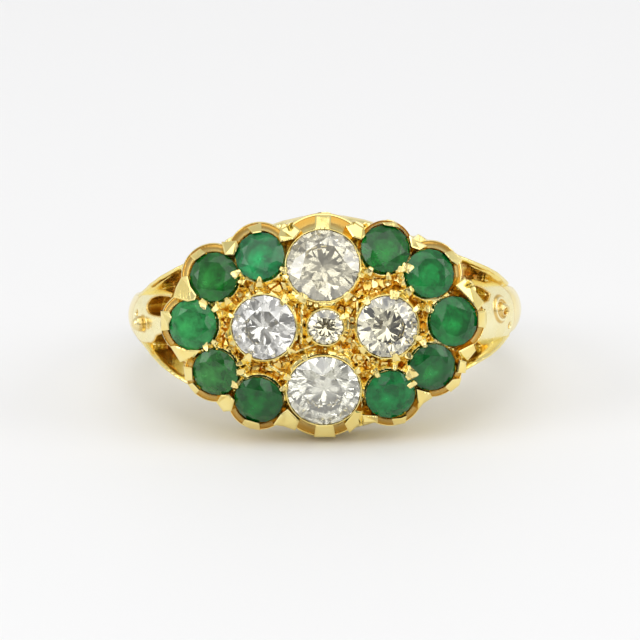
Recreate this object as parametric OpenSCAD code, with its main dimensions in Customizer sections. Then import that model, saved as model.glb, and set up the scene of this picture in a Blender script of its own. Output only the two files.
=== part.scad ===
// Emerald and diamond ring: a domed, boat-shaped head of fifteen round stones on a split, carved shank.
// The ring is drawn with its finger axis along Z and its head toward -Y, and is then laid on its side.

/* [Finger] */
// Radius of the finger hole
finger_r = 8.75; // [8.4:0.05:8.9]
// Outer radius of the plain shank
shank_r = 10.5; // [10.4:0.05:10.6]
// How far the outside of the shank is set toward the head, which thins the back
shank_offset = 0.35; // [0.25:0.05:0.4]
// Width of the plain shank at the back
shank_w = 2.3; // [2.1:0.1:2.6]
// Radius of the rounded outside of the shank
shank_crown_r = 1.75; // [1.5:0.05:2.5]

/* [Shoulders] */
// Half width of the pair of rails where they pass under the middle of the head
rail_half_head = 5.6; // [5.4:0.05:5.65]
// Half width of the pair of rails where they run into the shank
rail_half_shank = 1.15; // [1.1:0.05:1.2]
// How soon the rails close toward the shank
rail_closing = 1.22; // [1.18:0.01:1.25]
// Width of each rail
rail_w = 0.38; // [0.36:0.01:0.42]
// Angle round the finger at which the shank starts
shank_from = 66; // [65:1:68]
// Angle round the finger of the middle of each carved scroll
scroll_at = 65; // [63:1:67]
// How much higher than the head's middle the left shoulder stands
left_lift = 0.12; // [0:0.02:0.16]
// How much broader each half of the left shoulder is than the plain curve of its rails
left_spread = 0.12; // [0:0.02:0.16]
// How much higher than the head's middle the right shoulder stands
right_lift = 0.25; // [0:0.05:0.3]
// How much broader each half of the right shoulder is than the plain curve of its rails
right_spread = 0.25; // [0:0.05:0.3]
// How far the lower rail of the right shoulder is pressed in beside the head
right_dent = 0.45; // [0:0.05:0.5]

/* [Head] */
// Distance from the finger axis to the top of the metal in the middle of the head
head_top = 12.7; // [12.6:0.05:12.9]
// Radius of the dome along the head
dome_long_r = 20; // [19:0.5:22]
// Radius of the dome across the head
dome_cross_r = 11; // [10.5:0.25:12]
// Metal usually left outside an edge stone
rim_w = 0.36; // [0.32:0.01:0.42]
// Thickness of the domed plate that holds the stones
plate_t = 1.3; // [1.1:0.05:1.5]
// Height of the wall below the dome
wall_h = 2.7; // [2.6:0.05:2.9]
// How far the flutes between the claws are cut below the dome
flute_depth = 0.5; // [0.3:0.05:0.6]
// How far the claws stand above the dome
claw_rise = 0.3; // [0.2:0.05:0.35]

/* [Stones] */
// Gap between each stone and the metal
stone_gap = 0.03; // [0.02:0.005:0.05]
// Width of a diamond's table as a share of its diameter
diamond_table = 0.56; // [0.53:0.01:0.6]
// Width of an emerald's table as a share of its diameter
emerald_table = 0.6; // [0.56:0.01:0.64]

/* [Hidden] */
$fn = 64;

// Columns: across, up, diameter, turn about its own axis, rim outside it as a share of the usual one
LEFT_EMERALDS = [
    [-3.26, 3.60, 2.54, 4, 1],
    [-5.64, 2.56, 2.56, 17, 1],
    [-6.77, 0.14, 2.62, 9, 1],
    [-5.64, -2.31, 2.42, 30, 1],
    [-3.46, -3.76, 2.52, 12, 1]
];
RIGHT_EMERALDS = [
    [3.16, 3.85, 2.54, 8, 0.25],
    [5.40, 2.55, 2.56, 20, 1],
    [6.58, 0.08, 2.58, 2, 1],
    [5.44, -2.24, 2.46, 15, 1],
    [3.28, -3.59, 2.60, 26, 1]
];
DIAMOND_TOP = [-0.05, 3.09, 3.74, 11, 2.0];
DIAMOND_BOTTOM = [-0.12, -3.32, 3.74, 3, 1.65];
DIAMOND_LEFT = [-3.12, -0.01, 3.30, 20, 1];
DIAMOND_RIGHT = [3.18, -0.08, 3.15, 7, 1];
DIAMOND_CENTRE = [0.03, -0.03, 1.80, 14, 1];
DIAMONDS = [DIAMOND_TOP, DIAMOND_BOTTOM, DIAMOND_LEFT, DIAMOND_RIGHT, DIAMOND_CENTRE];
EMERALDS = concat(LEFT_EMERALDS, RIGHT_EMERALDS);

// Shares of a stone's diameter: top of the crown, half the girdle, depth of the pavilion
EMERALD_CUT = [0.14, 0.02, 0.38];
DIAMOND_CUT = [0.155, 0.015, 0.42];
// Shares of the radius: the hole below a stone, the tips of the lower halves
hole_share = 0.45;
lower_share = 0.24;
star_share = 0.52;

// Flat-cut claws round the edge. Columns: across and up to the outer face, direction, width
EDGE_CLAWS = [
    [0.05, 5.74, 90, 0.90],
    [-1.86, 5.23, 108, 0.80],
    [-3.58, 5.26, 100, 0.65],
    [-4.90, 4.45, 120, 0.65],
    [-6.29, 3.99, 123, 0.70],
    [-7.38, 2.23, 151, 0.90],
    [-8.42, 0.35, 177, 1.00],
    [-7.43, -1.53, 204, 0.80],
    [-6.86, -3.20, 221, 0.70],
    [-5.27, -4.21, 239, 0.65],
    [-3.81, -5.26, 259, 0.75],
    [-1.89, -5.21, 251, 0.70],
    [-0.10, -5.85, 270, 0.95],
    [1.61, -5.29, 287, 0.70],
    [3.63, -5.22, 279, 0.65],
    [5.13, -4.01, 303, 0.65],
    [6.64, -3.32, 319, 0.70],
    [7.53, -1.58, 335, 0.75],
    [8.32, 0.13, 0, 1.00],
    [7.69, 1.87, 27, 0.90],
    [6.78, 3.50, 45, 0.75],
    [5.08, 4.39, 57, 0.65],
    [3.49, 5.26, 76, 0.70],
    [1.81, 5.19, 69, 0.80]
];
claw_depth = 0.85;
// Shares of a claw's width: half its outer face, half its middle, half its root
claw_face = 0.36;
claw_middle = 0.5;
claw_root = 0.6;
claw_taper = 0.3;

// The wall between the claws: its thin top edge, and the metal round the hollow under the plate
wall_edge = 0.06;
wall_edge_drop = 0.08;
hollow_margin = 0.4;

// Small claws that hold the inner sides of the stones. Columns: across, up, radius
GRAINS = [
    [-1.95, 2.05, 0.26],
    [-1.80, 3.95, 0.24],
    [1.72, 4.12, 0.24],
    [1.85, 2.12, 0.28],
    [-3.55, 2.00, 0.24],
    [-2.45, 1.62, 0.22],
    [-4.45, 1.05, 0.26],
    [-5.05, -0.55, 0.28],
    [-4.35, -1.45, 0.24],
    [-4.55, 2.98, 0.20],
    [-2.90, -2.10, 0.26],
    [-1.95, -2.30, 0.26],
    [-4.50, -3.02, 0.20],
    [-1.32, 1.05, 0.20],
    [-1.32, -1.10, 0.20],
    [1.38, 1.10, 0.20],
    [1.38, -1.12, 0.20],
    [2.45, 1.70, 0.22],
    [3.85, 2.20, 0.26],
    [4.90, 0.95, 0.26],
    [4.95, -0.62, 0.24],
    [3.95, -1.75, 0.26],
    [2.72, -1.82, 0.24],
    [1.90, -2.15, 0.28]
];
grain_root = 0.1;
grain_tip = 0.55;
grain_rise = 0.8;
grain_sunk = 0.4;

// The outline of each carved scroll, seen from outside. Columns: toward the back, up
SCROLL_LEFT = [
    [1.13, 0.05], [0.95, 0.42], [0.60, 0.82], [0.10, 1.20], [-0.40, 1.48], [-0.80, 1.64],
    [-1.50, 1.72], [-2.30, 1.70], [-3.20, 1.56], [-3.20, 1.30], [-2.30, 1.36], [-1.60, 1.30],
    [-1.15, 1.18], [-0.92, 0.90], [-0.95, 0.62], [-1.25, 0.42], [-1.90, 0.36], [-3.00, 0.30],
    [-3.00, -0.55], [-2.20, -0.75], [-1.86, -1.02], [-1.50, -1.18], [-0.64, -1.24], [-0.10, -1.18],
    [0.30, -1.05], [0.65, -0.82], [0.95, -0.45]
];
SCROLL_RIGHT = [
    [0.52, -0.35], [0.48, 0.20], [0.30, 0.60], [-0.10, 1.05], [-0.60, 1.42], [-1.10, 1.68],
    [-1.60, 1.80], [-2.30, 1.78], [-2.70, 1.92], [-3.10, 2.02], [-3.60, 1.85], [-3.60, 1.55],
    [-3.10, 1.62], [-2.70, 1.45], [-2.30, 1.15], [-2.60, 0.85], [-3.40, 0.70], [-3.40, -1.30],
    [-2.90, -1.50], [-1.90, -1.54], [-1.00, -1.47], [-0.40, -1.25], [0.05, -0.95], [0.38, -0.65]
];
// The small round parts of the scrolls. Columns: toward the back, up, radius
BEAD_LEFT = [-0.94, -0.15, 0.30];
BEAD_RIGHT = [-1.53, 0.31, 0.38];
DIMPLE_LEFT = [0.07, 0.39, 0.13];
DIMPLE_RIGHT = [-0.33, -0.60, 0.13];
scroll_rise = 0.2;
scroll_crown_r = 3.4;
bead_rise = 0.05;
dimple_depth = 0.2;

// Where the ring rests: the back of the lowest edge claw, and the lower outer edge of the shank's back.
claw_foot_r = 9.6;
claw_foot_down = 5.85;
shank_edge = shank_crown_r - sqrt(pow(shank_crown_r, 2) - pow(shank_w / 2, 2));
shank_back = shank_r - shank_offset - shank_edge;
tilt = atan((claw_foot_down - shank_w / 2) / (claw_foot_r + shank_back));
lift = shank_back * sin(tilt) + shank_w / 2 * cos(tilt);
// The domed head tips forward, so its reach is nearly that of its highest table.
table_rise = 0.58;
front_reach = head_top + table_rise;
back_reach = (shank_r - shank_offset) * cos(tilt);
middle_y = (front_reach - back_reach) / 2;

// Distance of the dome's surface from the axis of its long curve, at a height up the head
function dome_rho(up) = dome_long_r - dome_cross_r + sqrt(pow(dome_cross_r, 2) - pow(up, 2));
dome_axis_y = dome_long_r - head_top;

// The two tilts of the dome's surface at a place on the head
function dome_across(at) = asin(at[0] / dome_rho(at[1]));
function dome_up(at) = asin(at[1] / dome_cross_r);
function dome_point(at) = [at[0], dome_axis_y - sqrt(pow(dome_rho(at[1]), 2) - pow(at[0], 2)), at[1]];

// The shoulders stand a little high and broad, each in its own way, by most near the scrolls
shoulder_at = 58;
shoulder_reach = 17;
function near_scroll(a) = exp(-pow((abs(a) - shoulder_at) / shoulder_reach, 2));
function shoulder_lift(a) = (a > 0 ? right_lift : left_lift) * near_scroll(a);
function shoulder_spread(a) = (a > 0 ? right_spread : left_spread) * near_scroll(a);
dent_at = 38;
dent_reach = 12;
function dent(a, side) = a > 0 && side < 0 ? right_dent * exp(-pow((a - dent_at) / dent_reach, 2)) : 0;

// Each rail ends inside the shank: its last stretch sinks in from all sides
rail_reach = 90;
rail_sinks_from = 70;
rail_end_narrowing = 0.2;
rail_end_thickening = 0.5;
function rail_end(a) = max(0, (abs(a) - rail_sinks_from) / (rail_reach - rail_sinks_from));

// Half the outer width of the pair of rails, at an angle round the finger
function rail_half(a) = rail_half_shank
    + (rail_half_head - rail_half_shank) * pow(cos(min(90, rail_closing * abs(a))), 2)
    - rail_end_narrowing * pow(rail_end(a), 2);

// Outer radius of the rails: they climb from the shank to the wall of the head
rail_proud = 0.05;
rail_climb = 1.15;
climb_at = 43;
climb_spread = 17;
rail_fade = 0.75;
function rail_r(a) = shank_r + rail_proud
    + rail_climb * exp(-pow((abs(a) - climb_at) / climb_spread, 2))
    - rail_fade * pow(rail_end(a), 1.5);

// A round stone's points for a radius of 1: rings of points, and where the tips of the stars lie
half_eighth = 22.5;
function ring_points(r, z, n, first) = [
    for (k = [0 : n - 1]) [r * cos(first + k * 360 / n), r * sin(first + k * 360 / n), z]
];
function star_r(table) = star_share + (1 - star_share) * table * cos(half_eighth);
function star_z(table, crown, girdle) = girdle
    + (crown - girdle) * (1 - star_r(table) * cos(half_eighth)) / (1 - table);

// Lays the upright ring on its side, with its lowest points on the ground
module laid_down() {
    translate([0, middle_y, lift])
        rotate([-tilt, 0, 0])
            children();
}

// Puts something on the dome, its own Z along the surface's outward direction
module on_dome(at) {
    translate(dome_point(at))
        rotate([0, 0, dome_across(at)])
            rotate([-dome_up(at), 0, 0])
                rotate([90, 0, 0])
                    children();
}

// Everything under the dome's surface, or under a surface a little above or below it
dome_sweep = 80;
dome_strip = [8, 15];
dome_strip_in = 6;
module under_dome(rise) {
    translate([0, dome_axis_y, 0])
        rotate([0, 0, -90 - dome_sweep / 2])
            rotate_extrude(angle = dome_sweep)
                intersection() {
                    translate([dome_long_r - dome_cross_r, 0])
                        circle(r = dome_cross_r + rise);
                    translate([dome_long_r - dome_strip_in, -dome_strip[1] / 2])
                        square(dome_strip);
                }
}

// Extrudes an outline drawn in the front view through the head
through = 20;
module through_head() {
    rotate([90, 0, 0])
        linear_extrude(height = through)
            children();
}

// The scalloped boat shape of the head in the front view, grown by a margin
module head_outline(margin) {
    for (s = concat(EMERALDS, [DIAMOND_TOP, DIAMOND_BOTTOM]))
        translate([s[0], s[1]])
            circle(r = s[2] / 2 + margin * (margin > wall_edge ? s[4] : 1));
    polygon([for (s = concat(
        [DIAMOND_TOP],
        LEFT_EMERALDS,
        [DIAMOND_BOTTOM],
        [for (k = [4 : -1 : 0]) RIGHT_EMERALDS[k]]
    )) [s[0], s[1]]]);
}

module claw_outlines() {
    for (c = EDGE_CLAWS)
        translate([c[0], c[1]])
            rotate(c[2])
                polygon([
                    [-claw_depth, -c[3] * claw_root],
                    [-claw_taper, -c[3] * claw_middle],
                    [0, -c[3] * claw_face],
                    [0, c[3] * claw_face],
                    [-claw_taper, c[3] * claw_middle],
                    [-claw_depth, c[3] * claw_root]
                ]);
}

// The head: a domed plate, a wall cut down between the claws, and the claws themselves
module head() {
    difference() {
        union() {
            intersection() {
                through_head()
                    head_outline(rim_w);
                under_dome(-flute_depth);
            }
            intersection() {
                through_head()
                    head_outline(wall_edge);
                under_dome(-wall_edge_drop);
            }
            intersection() {
                through_head()
                    claw_outlines();
                under_dome(claw_rise);
            }
        }
        // the hollow under the plate
        intersection() {
            through_head()
                head_outline(-hollow_margin);
            under_dome(-plate_t);
        }
        // the open space below the wall, which the rails close
        translate([0, dome_axis_y, 0])
            cylinder(r = dome_long_r - wall_h, h = through, center = true);
    }
}

module grains() {
    for (g = GRAINS)
        on_dome([g[0], g[1]])
            translate([0, 0, -grain_sunk])
                cylinder(r1 = g[2] + grain_root, r2 = g[2] * grain_tip, h = grain_sunk + g[2] * grain_rise);
}

// The room that a stone and its gap need, turned from one outline, with the open hole below it
module stone_room(d, table, cut) {
    r = d / 2;
    crown = cut[0] * d + stone_gap;
    girdle = cut[1] * d + stone_gap;
    pavilion = cut[2] * d;
    hole_top = -girdle - (pavilion - girdle) * (1 - hole_share * cos(half_eighth)) - stone_gap;
    rotate_extrude($fn = 48)
        polygon([
            [0, crown],
            [r * table + stone_gap, crown],
            [r + stone_gap, girdle],
            [r + stone_gap, -girdle],
            [r * hole_share, hole_top],
            [r * hole_share, -pavilion - plate_t],
            [0, -pavilion - plate_t]
        ]);
}

// One rail: a bar swept round the finger, on the upper or the lower side
rail_steps = 30;
rail_inside = finger_r - 0.3;
rail_slope = [0.5, 0.3];
rail_bevel = [0.45, 0.12];
rail_inner_bevel = 0.3;
rail_least = 0.06;
function rail_section(a, side) = let (
    h = rail_half(a) + shoulder_spread(a) - dent(a, side),
    r = rail_r(a),
    w = rail_w + rail_end_thickening * rail_end(a)
) [
    for (p = [
        [rail_inside, h - w],
        [rail_inside, h - rail_slope[1]],
        [finger_r + rail_slope[0], h],
        [r - rail_bevel[0], h],
        [r, h - rail_bevel[1]],
        [r, h - w + rail_bevel[1]],
        [r - rail_inner_bevel, h - w]
    ]) [p[0] * sin(a), -p[0] * cos(a), side * max(p[1], rail_least) + shoulder_lift(a)]
];

module rail(side) {
    n = 7;
    rings = [
        for (k = [0 : rail_steps])
            rail_section(-rail_reach + 2 * rail_reach * k / rail_steps, side)
    ];
    points = [for (ring = rings) each ring];
    start = [for (k = [0 : n - 1]) side > 0 ? k : n - 1 - k];
    finish = [for (k = [0 : n - 1]) rail_steps * n + (side > 0 ? n - 1 - k : k)];
    sides = [
        for (i = [0 : rail_steps - 1])
            for (k = [0 : n - 1])
                let (
                    a = i * n + k,
                    b = i * n + (k + 1) % n,
                    c = b + n,
                    d = a + n
                )
                each side > 0 ? [[a, c, b], [a, d, c]] : [[a, b, c], [a, c, d]]
    ];
    polyhedron(points = points, faces = concat([start], sides, [finish]), convexity = 6);
}

// How far what meets the finger hole is drawn into it, before the hole is cut
sunk = 0.8;

// The plain shank round the back of the finger, flat inside and rounded outside
module shank() {
    sweep = 360 - 2 * shank_from;
    translate([0, -shank_offset, 0])
        rotate([0, 0, -90 + shank_from])
            rotate_extrude(angle = sweep)
                intersection() {
                    translate([shank_r - shank_crown_r, 0])
                        circle(r = shank_crown_r);
                    translate([finger_r - sunk, -shank_w / 2])
                        square([shank_r, shank_w]);
                }
}

// Something drawn on the outside of one shoulder: its X runs toward the back, its Y up, its Z outward
module on_shoulder(side) {
    rotate([0, 0, side * scroll_at])
        rotate([90, 0, 0])
            mirror([side < 0 ? 1 : 0, 0, 0])
                children();
}

// The carved scroll between the rails of one shoulder: a curl round a hollow, a lobe and a bead
module scroll(side) {
    bead = side < 0 ? BEAD_LEFT : BEAD_RIGHT;
    dimple = side < 0 ? DIMPLE_LEFT : DIMPLE_RIGHT;
    difference() {
        intersection() {
            on_shoulder(side)
                translate([0, 0, finger_r - 2 * sunk])
                    linear_extrude(height = 5 * sunk)
                        polygon(side < 0 ? SCROLL_LEFT : SCROLL_RIGHT);
            translate([0, -shank_offset, 0])
                rotate_extrude()
                    intersection() {
                        translate([shank_r + scroll_rise - scroll_crown_r, 0])
                            circle(r = scroll_crown_r);
                        translate([finger_r - 3 * sunk, -scroll_crown_r])
                            square([shank_r, 2 * scroll_crown_r]);
                    }
        }
        on_shoulder(side)
            translate([dimple[0], dimple[1], shank_r + scroll_rise - dimple_depth])
                cylinder(r = dimple[2], h = shank_r);
    }
    on_shoulder(side)
        translate([bead[0], bead[1], shank_r + scroll_rise - bead_rise])
            sphere(r = bead[2], $fn = 32);
}

module gold_mount() {
    color("goldenrod")
        laid_down()
            difference() {
                union() {
                    shank();
                    rail(1);
                    rail(-1);
                    scroll(1);
                    scroll(-1);
                    head();
                    grains();
                }
                cylinder(r = finger_r, h = through, center = true);
                for (s = EMERALDS)
                    on_dome(s)
                        stone_room(s[2], emerald_table, EMERALD_CUT);
                for (s = DIAMONDS)
                    on_dome(s)
                        stone_room(s[2], diamond_table, DIAMOND_CUT);
            }
}

// A faceted round stone: table, stars, kites, upper halves, girdle, lower halves and pavilion mains
module round_stone(d, table, cut) {
    crown = 2 * cut[0];
    girdle = 2 * cut[1];
    pavilion = 2 * cut[2];
    tip_z = -girdle - (pavilion - girdle) * (1 - lower_share * cos(half_eighth));
    points = [
        for (p = concat(
            ring_points(table, crown, 8, 0),
            ring_points(star_r(table), star_z(table, crown, girdle), 8, half_eighth),
            ring_points(1, girdle, 16, 0),
            ring_points(1, -girdle, 16, 0),
            ring_points(lower_share, tip_z, 8, half_eighth),
            [[0, 0, -pavilion]]
        )) p * d / 2
    ];
    star = 8;
    upper = 16;
    under = 32;
    deep = 48;
    culet = 56;
    faces = concat(
        [[7, 6, 5, 4, 3, 2, 1, 0]],
        [for (k = [0 : 7]) [k, (k + 1) % 8, star + k]],
        [for (k = [0 : 7]) [k, star + k, upper + 2 * k, star + (k + 7) % 8]],
        [for (k = [0 : 7]) [star + k, upper + 2 * k + 1, upper + 2 * k]],
        [for (k = [0 : 7]) [star + k, upper + (2 * k + 2) % 16, upper + 2 * k + 1]],
        [for (k = [0 : 15]) [upper + k, upper + (k + 1) % 16, under + (k + 1) % 16, under + k]],
        [for (k = [0 : 7]) [under + 2 * k, under + 2 * k + 1, deep + k]],
        [for (k = [0 : 7]) [under + 2 * k + 1, under + (2 * k + 2) % 16, deep + k]],
        [for (k = [0 : 7]) [under + 2 * k, deep + k, culet, deep + (k + 7) % 8]]
    );
    polyhedron(points = points, faces = faces, convexity = 2);
}

module emerald(s) {
    color("seagreen")
        laid_down()
            on_dome(s)
                rotate(s[3])
                    round_stone(s[2], emerald_table, EMERALD_CUT);
}

module diamond(s) {
    color("whitesmoke")
        laid_down()
            on_dome(s)
                rotate(s[3])
                    round_stone(s[2], diamond_table, DIAMOND_CUT);
}

gold_mount();
for (k = [0 : 4])
    emerald(LEFT_EMERALDS[k]);
for (k = [0 : 4])
    emerald(RIGHT_EMERALDS[k]);
diamond(DIAMOND_TOP);  // diamond_top
diamond(DIAMOND_BOTTOM);  // diamond_bottom
diamond(DIAMOND_LEFT);  // diamond_left
diamond(DIAMOND_RIGHT);  // diamond_right
diamond(DIAMOND_CENTRE);  // diamond_centre
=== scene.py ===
import math
import random
import bmesh
import bpy
from mathutils import Matrix, Vector, kdtree, noise


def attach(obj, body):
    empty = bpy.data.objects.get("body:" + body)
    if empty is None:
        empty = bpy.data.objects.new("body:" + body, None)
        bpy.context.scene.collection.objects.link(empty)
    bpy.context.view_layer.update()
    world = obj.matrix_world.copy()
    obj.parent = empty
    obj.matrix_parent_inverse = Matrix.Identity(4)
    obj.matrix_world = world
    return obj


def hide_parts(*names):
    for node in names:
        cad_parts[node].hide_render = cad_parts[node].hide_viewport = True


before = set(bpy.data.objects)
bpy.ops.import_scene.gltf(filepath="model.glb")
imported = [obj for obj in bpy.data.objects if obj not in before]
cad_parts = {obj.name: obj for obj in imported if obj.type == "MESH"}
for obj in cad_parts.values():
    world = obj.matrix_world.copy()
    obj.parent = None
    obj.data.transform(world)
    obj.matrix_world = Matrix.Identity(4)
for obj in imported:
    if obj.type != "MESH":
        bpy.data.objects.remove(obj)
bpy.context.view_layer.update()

print("ring: frame loaded")

mm = 0.001
weldGap = 0.001 * mm             # vertices nearer than this are one
lean = math.radians(13.673)      # how far the ring leans forward on its lowest claw
ringMiddle = (1.7088, 3.4149)    # mm, middle of the finger hole, back and up
dome = {"longRadius": 20.0, "crossRadius": 11.0, "top": 12.7}    # mm

# across, up, diameter, tint, milkiness
emeralds = {
    "emerald_left_1": (-3.26, 3.60, 2.54, (0.005, 0.310, 0.085), 0.35),
    "emerald_left_2": (-5.64, 2.56, 2.56, (0.012, 0.215, 0.025), 0.40),
    "emerald_left_3": (-6.77, 0.14, 2.62, (0.030, 0.330, 0.080), 0.55),
    "emerald_left_4": (-5.64, -2.31, 2.42, (0.030, 0.200, 0.035), 0.60),
    "emerald_left_5": (-3.46, -3.76, 2.52, (0.002, 0.155, 0.018), 0.50),
    "emerald_right_1": (3.16, 3.85, 2.54, (0.004, 0.215, 0.022), 0.35),
    "emerald_right_2": (5.40, 2.55, 2.56, (0.006, 0.265, 0.050), 0.42),
    "emerald_right_3": (6.58, 0.08, 2.58, (0.006, 0.260, 0.045), 0.42),
    "emerald_right_4": (5.44, -2.24, 2.46, (0.008, 0.195, 0.035), 0.42),
    "emerald_right_5": (3.28, -3.59, 2.60, (0.002, 0.205, 0.042), 0.60),
}
# across, up, diameter, tint, milkiness, amount of flecks, their tone
diamonds = {
    "diamond_top": (-0.05, 3.09, 3.74, (1.0, 0.94, 0.70), 0.12, 0.50, 0.30),
    "diamond_bottom": (-0.12, -3.32, 3.74, (1.0, 0.985, 0.83), 0.12, 0.0, 0.85),
    "diamond_left": (-3.12, -0.01, 3.30, (1.0, 0.985, 0.91), 0.09, 0.08, 0.40),
    "diamond_right": (3.18, -0.08, 3.15, (0.95, 0.89, 0.64), 0.0, 0.30, 0.10),
    "diamond_centre": (0.03, -0.03, 1.80, (1.0, 0.92, 0.64), 0.0, 0.25, 0.15),
}
stones = {**emeralds, **diamonds}


# from the upright ring's millimetres, across, back and up, to where it rests
def place(x, y, z):
    return Vector((
        x * mm,
        (y * math.cos(lean) + z * math.sin(lean) + ringMiddle[0]) * mm,
        (-y * math.sin(lean) + z * math.cos(lean) + ringMiddle[1]) * mm,
    ))


# radius of the head's long curve, at a height up
def domeReach(up, rise=0.0):
    bow = math.sqrt((dome["crossRadius"] + rise) ** 2 - up ** 2)
    return dome["longRadius"] - dome["crossRadius"] + bow


# how far back the dome's skin lies, at a place on the head
def domeFront(across, up, rise=0.0):
    return dome["longRadius"] - dome["top"] - math.sqrt(domeReach(up, rise) ** 2 - across ** 2)


def domePoint(across, up, rise=0.0):
    return place(across, domeFront(across, up, rise), up)


# the turn that stands a thing on the dome
def domeTurn(across, up):
    sideways = math.asin(across / domeReach(up))
    upward = math.asin(up / dome["crossRadius"])
    return (Matrix.Rotation(-lean, 4, "X") @ Matrix.Rotation(sideways, 4, "Z")
            @ Matrix.Rotation(-upward, 4, "X") @ Matrix.Rotation(math.pi / 2, 4, "X"))


# camera
cameraSet = {"aim": (0, -12.3, 0), "elevation": 17.4, "roll": 1.0, "distance": 0.25, "lens": 275.6,
             "sensor": 36, "clip": 0.01, "shift": (-0.0078, 0.0094)}
aim = place(*cameraSet["aim"])
elevation = math.radians(cameraSet["elevation"])
roll = math.radians(cameraSet["roll"])
look = Vector((0, math.cos(elevation), -math.sin(elevation)))
right = Vector((1, 0, 0))
above = right.cross(look)
cameraRight = right * math.cos(roll) - above * math.sin(roll)
cameraUp = above * math.cos(roll) + right * math.sin(roll)
cameraTurn = Matrix((cameraRight, cameraUp, -look)).transposed().to_4x4()
cameraData = bpy.data.cameras.new("camera")
cameraData.lens = cameraSet["lens"]
cameraData.sensor_width = cameraSet["sensor"]
cameraData.clip_start = cameraSet["clip"]
cameraData.shift_x, cameraData.shift_y = cameraSet["shift"]
camera = bpy.data.objects.new("camera", cameraData)
camera.matrix_world = Matrix.Translation(aim - look * cameraSet["distance"]) @ cameraTurn
bpy.context.scene.collection.objects.link(camera)
bpy.context.scene.camera = camera
print("ring: camera")


# materials
def addNode(tree, kind, **values):
    node = tree.nodes.new(kind)
    for name, value in values.items():
        setattr(node, name, value)
    return node


# a socket gets a link from another socket, or else a value
def feed(tree, socket, value):
    if isinstance(value, bpy.types.NodeSocket):
        tree.links.new(value, socket)
    else:
        socket.default_value = value


def mathNode(tree, operation, a, b=0.0, clamp=False):
    node = addNode(tree, "ShaderNodeMath", operation=operation, use_clamp=clamp)
    feed(tree, node.inputs[0], a)
    feed(tree, node.inputs[1], b)
    return node.outputs[0]


def rangeNode(tree, value, low, high, start=0.0, end=1.0, kind="SMOOTHSTEP"):
    node = addNode(tree, "ShaderNodeMapRange", interpolation_type=kind)
    for name, given in (("Value", value), ("From Min", low), ("From Max", high),
                        ("To Min", start), ("To Max", end)):
        feed(tree, node.inputs[name], given)
    return node.outputs["Result"]


# a colour mix; its colour sockets come after those of the node's other kinds
def mixNode(tree, share, under, over):
    node = addNode(tree, "ShaderNodeMix", data_type="RGBA")
    for k, value in ((0, share), (6, under), (7, over)):
        feed(tree, node.inputs[k], value)
    return node.outputs[2]


def noiseNode(tree, vector, **values):
    node = addNode(tree, "ShaderNodeTexNoise")
    feed(tree, node.inputs["Vector"], vector)
    for name, value in values.items():
        feed(tree, node.inputs[name], value)
    return node.outputs["Fac"]


def parted(tree, vector):
    split = addNode(tree, "ShaderNodeSeparateXYZ")
    tree.links.new(vector, split.inputs[0])
    return split.outputs["X"], split.outputs["Y"], split.outputs["Z"]


def setInputs(node, values):
    for name, value in values.items():
        node.inputs[name].default_value = value


def groupNode(tree, group, values):
    node = addNode(tree, "ShaderNodeGroup", node_tree=group)
    setInputs(node, values)
    return node


def socketsOf(group, inputs, outputs):
    for name, kind, value in inputs:
        socket = group.interface.new_socket(name, in_out="INPUT", socket_type=kind)
        socket.default_value = value
    for name, kind in outputs:
        group.interface.new_socket(name, in_out="OUTPUT", socket_type=kind)
    return addNode(group, "NodeGroupInput"), addNode(group, "NodeGroupOutput")


# the walls of the shoulders' openings, which get painted shade, from where it starts to where it is
# whole:
# mm from the finger's axis, mm toward the back, and how far a wall faces the middle of the band
openingWalls = {"inside": (8.85, 9.0), "outside": (10.4, 10.0), "back": (-3.4, -4.4),
                "front": (-9.8, -9.0), "facing": (0.0, -0.5)}


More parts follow.
